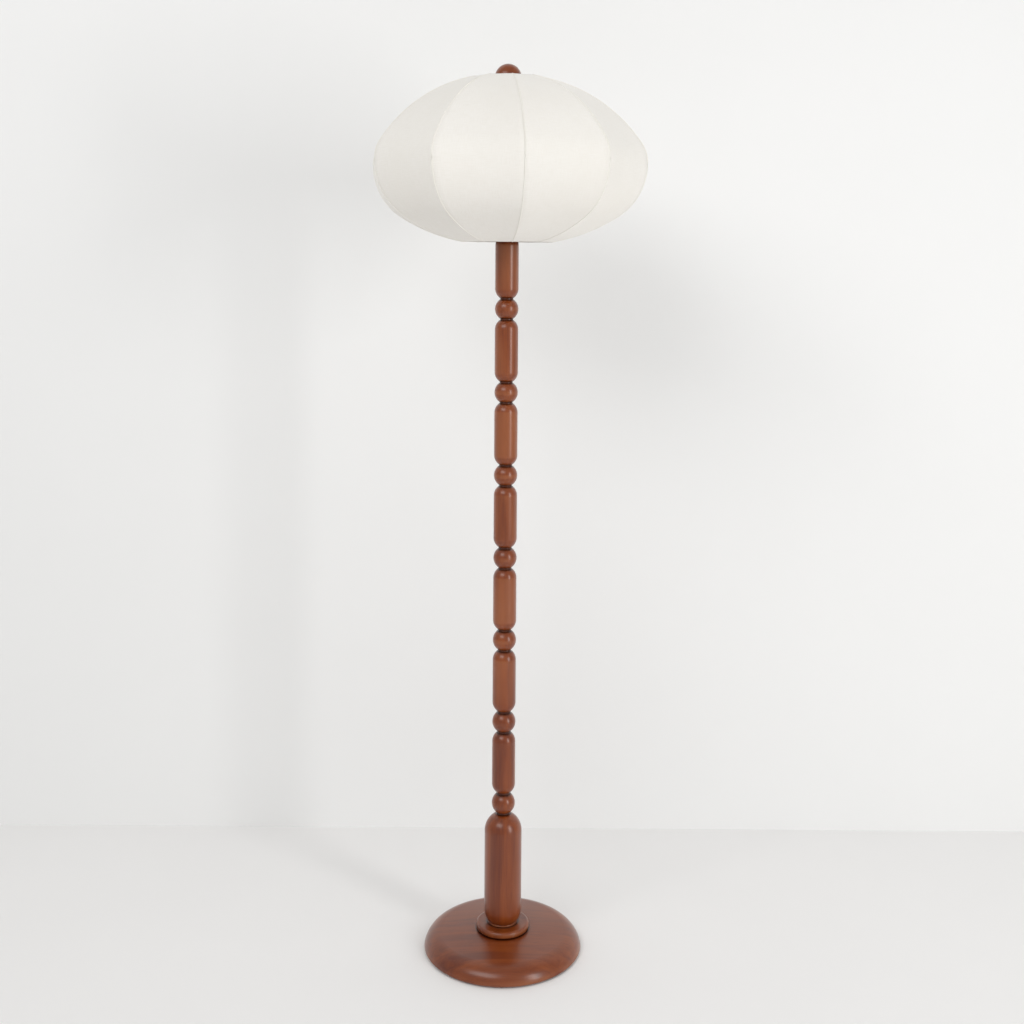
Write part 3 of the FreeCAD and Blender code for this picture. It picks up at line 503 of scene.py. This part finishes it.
def cloth_point(r, z, angle, share, rib, across):
    """A point of the cloth: on the chord between two ribs, drawn in by its own tension."""
    first = FIRST_RIB + 2 * HALF_PANEL * rib
    start = at_azimuth(r, z, first)
    end = at_azimuth(r, z, first + 2 * HALF_PANEL)
    point = start.lerp(end, across)
    belly = 4 * across * (1 - across)
    depth = PANEL_SAG * belly * math.cos(share * math.pi / 2)
    middle = first + HALF_PANEL
    inward = at_azimuth(-math.cos(angle), -math.sin(angle), middle)
    return point + inward * depth + Vector((0, 0, waist_level))


def make_cloth():
    """One continuous sheet right round the shade, with a seam wherever it passes a rib."""
    rows = profile_rows()
    columns = RIB_COUNT * COLUMNS
    corners, texture = [], []
    for r, z, angle, along, share in rows:
        for column in range(columns):
            rib, step = divmod(column, COLUMNS)
            corners.append(cloth_point(r, z, angle, share, rib, step / COLUMNS))
    faces = []
    for i in range(len(rows) - 1):
        for column in range(columns):
            onward = (column + 1) % columns
            faces.append((i * columns + column, i * columns + onward,
                          (i + 1) * columns + onward, (i + 1) * columns + column))
            for row, place in ((i, column), (i, column + 1), (i + 1, column + 1), (i + 1, column)):
                across = place / COLUMNS - column // COLUMNS
                width = 2 * rows[row][0] * math.sin(HALF_PANEL)
                texture.append((column // COLUMNS * PANEL_WIDTH + (across - 0.5) * width,
                                rows[row][3]))
    cloth = new_object("shade_cloth", corners, faces, finish_of_slot["cream_fabric"])
    layer = cloth.data.uv_layers.new(name="threads")
    for loop, (u, v) in zip(layer.data, texture):
        loop.uv = (u, v)
    solid = cloth.modifiers.new("thickness", "SOLIDIFY")
    solid.thickness = CLOTH_THICKNESS
    solid.offset = -1.0
    return cloth


cloth = make_cloth()
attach(cloth, "shade")
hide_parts("shade_fabric")

# ---------------------------------------------------------------- seams and hems
piping = piping_material()


def make_seams():
    """Thin piping sewn along each rib, half sunk into the cloth."""
    corners, faces = [], []
    for rib in range(RIB_COUNT):
        azimuth = FIRST_RIB + 2 * HALF_PANEL * rib
        points = [at_azimuth(r, z + waist_level, azimuth) for r, z, *rest in profile_rows()]
        seam_corners, seam_faces = tube(points, SEAM_RADIUS, SEAM_SIDES)
        first = len(corners)
        corners += seam_corners
        faces += [tuple(first + index for index in face) for face in seam_faces]
    return new_object("shade_seams", corners, faces, piping)


def make_hem(name, hoop):
    """Cloth rolled tightly round a hoop."""
    low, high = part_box(hoop)
    wire = (high.z - low.z) / 2
    hoop_radius = high.x - wire
    steps = RIB_COUNT * HEM_STEPS
    points = [at_azimuth(hoop_radius, (low.z + high.z) / 2, 2 * math.pi * i / steps)
              for i in range(steps)]
    corners, faces = tube(points, wire + HEM_CLEARANCE, HEM_SIDES, closed=True)
    return new_object(name, corners, faces, piping)


seams = make_seams()
hems = [make_hem("shade_top_hem", "shade_top_ring"),
        make_hem("shade_bottom_hem", "shade_bottom_ring")]
for piece in (seams, *hems):
    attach(piece, "shade")


def flat_area():
    """Area of the ten panels laid flat, from their chords along the ribs."""
    rows = profile_rows()
    total = 0.0
    for lower, upper in zip(rows, rows[1:]):
        chord = (lower[0] + upper[0]) * math.sin(HALF_PANEL)
        total += chord * (upper[3] - lower[3]) * RIB_COUNT
    return total


flat_area()

# ---------------------------------------------------------------- floor and backdrop
WALL_BEHIND = 0.458  # stem axis to the backdrop
STAGE_REACH = 6.0


def one_sided(name, colour):
    """Plain matt paint that is seen from its front only."""
    shader = Shader(name)
    mottle = shader.noise(shader.place(), 3, 2, 0.5)
    paint = shader.mix(shader.spread(mottle, 0.3, 0.7, 0.0, 0.5), colour,
                       tuple(0.985 * level for level in colour))
    shader.set(Base_Color=paint, Roughness=0.85, Specular_IOR_Level=0.2)
    clear = shader.add("BsdfTransparent")
    side = shader.add("NewGeometry").outputs["Backfacing"]
    both = shader.add("MixShader")
    shader.put(both.inputs[0], side)
    shader.put(both.inputs[1], shader.surface.outputs[0])
    shader.put(both.inputs[2], clear.outputs[0])
    shader.put(shader.output.inputs["Surface"], both.outputs[0])
    return shader.material


floor = new_object("floor", [
    (-STAGE_REACH, -STAGE_REACH, 0), (STAGE_REACH, -STAGE_REACH, 0),
    (STAGE_REACH, STAGE_REACH, 0), (-STAGE_REACH, STAGE_REACH, 0),
], [(0, 1, 2, 3)], one_sided("floor_paint", srgb(246, 245, 244)), smooth=False)
wall = new_object("backdrop", [
    (-STAGE_REACH, WALL_BEHIND, 0), (STAGE_REACH, WALL_BEHIND, 0),
    (STAGE_REACH, WALL_BEHIND, STAGE_REACH), (-STAGE_REACH, WALL_BEHIND, STAGE_REACH),
], [(0, 1, 2, 3)], one_sided("backdrop_paint", srgb(246, 246, 245)), smooth=False)


# ---------------------------------------------------------------- light
def softbox(name, azimuth_degrees, height, distance, width, tall, power, aim_height):
    """A soft rectangular lamp. The azimuth is counted from the front towards +X."""
    data = bpy.data.lights.new(name, "AREA")
    data.shape = "RECTANGLE"
    data.size = width
    data.size_y = tall
    data.energy = power
    lamp = bpy.data.objects.new(name, data)
    bpy.context.scene.collection.objects.link(lamp)
    azimuth = math.radians(azimuth_degrees)
    place = Vector((math.sin(azimuth) * distance, -math.cos(azimuth) * distance, height))
    lamp.location = place
    lamp.rotation_euler = (Vector((0, 0, aim_height)) - place).to_track_quat("-Z", "Y").to_euler()


softbox("key", azimuth_degrees=47, height=1.35, distance=3.0, width=0.5, tall=1.8, power=27,
        aim_height=1.0)
softbox("fill", azimuth_degrees=-32, height=2.9, distance=2.7, width=2.2, tall=1.2, power=33,
        aim_height=1.1)

ROOM_LIGHT = 0.51
world = bpy.data.worlds.new("studio")
bpy.context.scene.world = world
world.use_nodes = True
world_nodes = world.node_tree.nodes
room = world_nodes["Background"]
room.inputs["Color"].default_value = (1, 1, 1, 1)
room.inputs["Strength"].default_value = ROOM_LIGHT

# ---------------------------------------------------------------- camera
LENS = 45.59  # mm on a 36 mm sensor
CAMERA_PLACE = Vector((0.0090, -2.204, 1.203))
CAMERA_PITCH = math.radians(90 - 2.35)
CAMERA_ROLL = math.radians(0.4)
camera_data = bpy.data.cameras.new("camera")
camera_data.lens = LENS
camera_data.sensor_width = 36
camera_data.shift_y = -0.2023
camera = bpy.data.objects.new("camera", camera_data)
bpy.context.scene.collection.objects.link(camera)
camera.matrix_world = (Matrix.Translation(CAMERA_PLACE) @ Matrix.Rotation(CAMERA_PITCH, 4, "X")
                       @ Matrix.Rotation(CAMERA_ROLL, 4, "Z"))
bpy.context.scene.camera = camera
bpy.context.scene.view_settings.view_transform = "Standard"
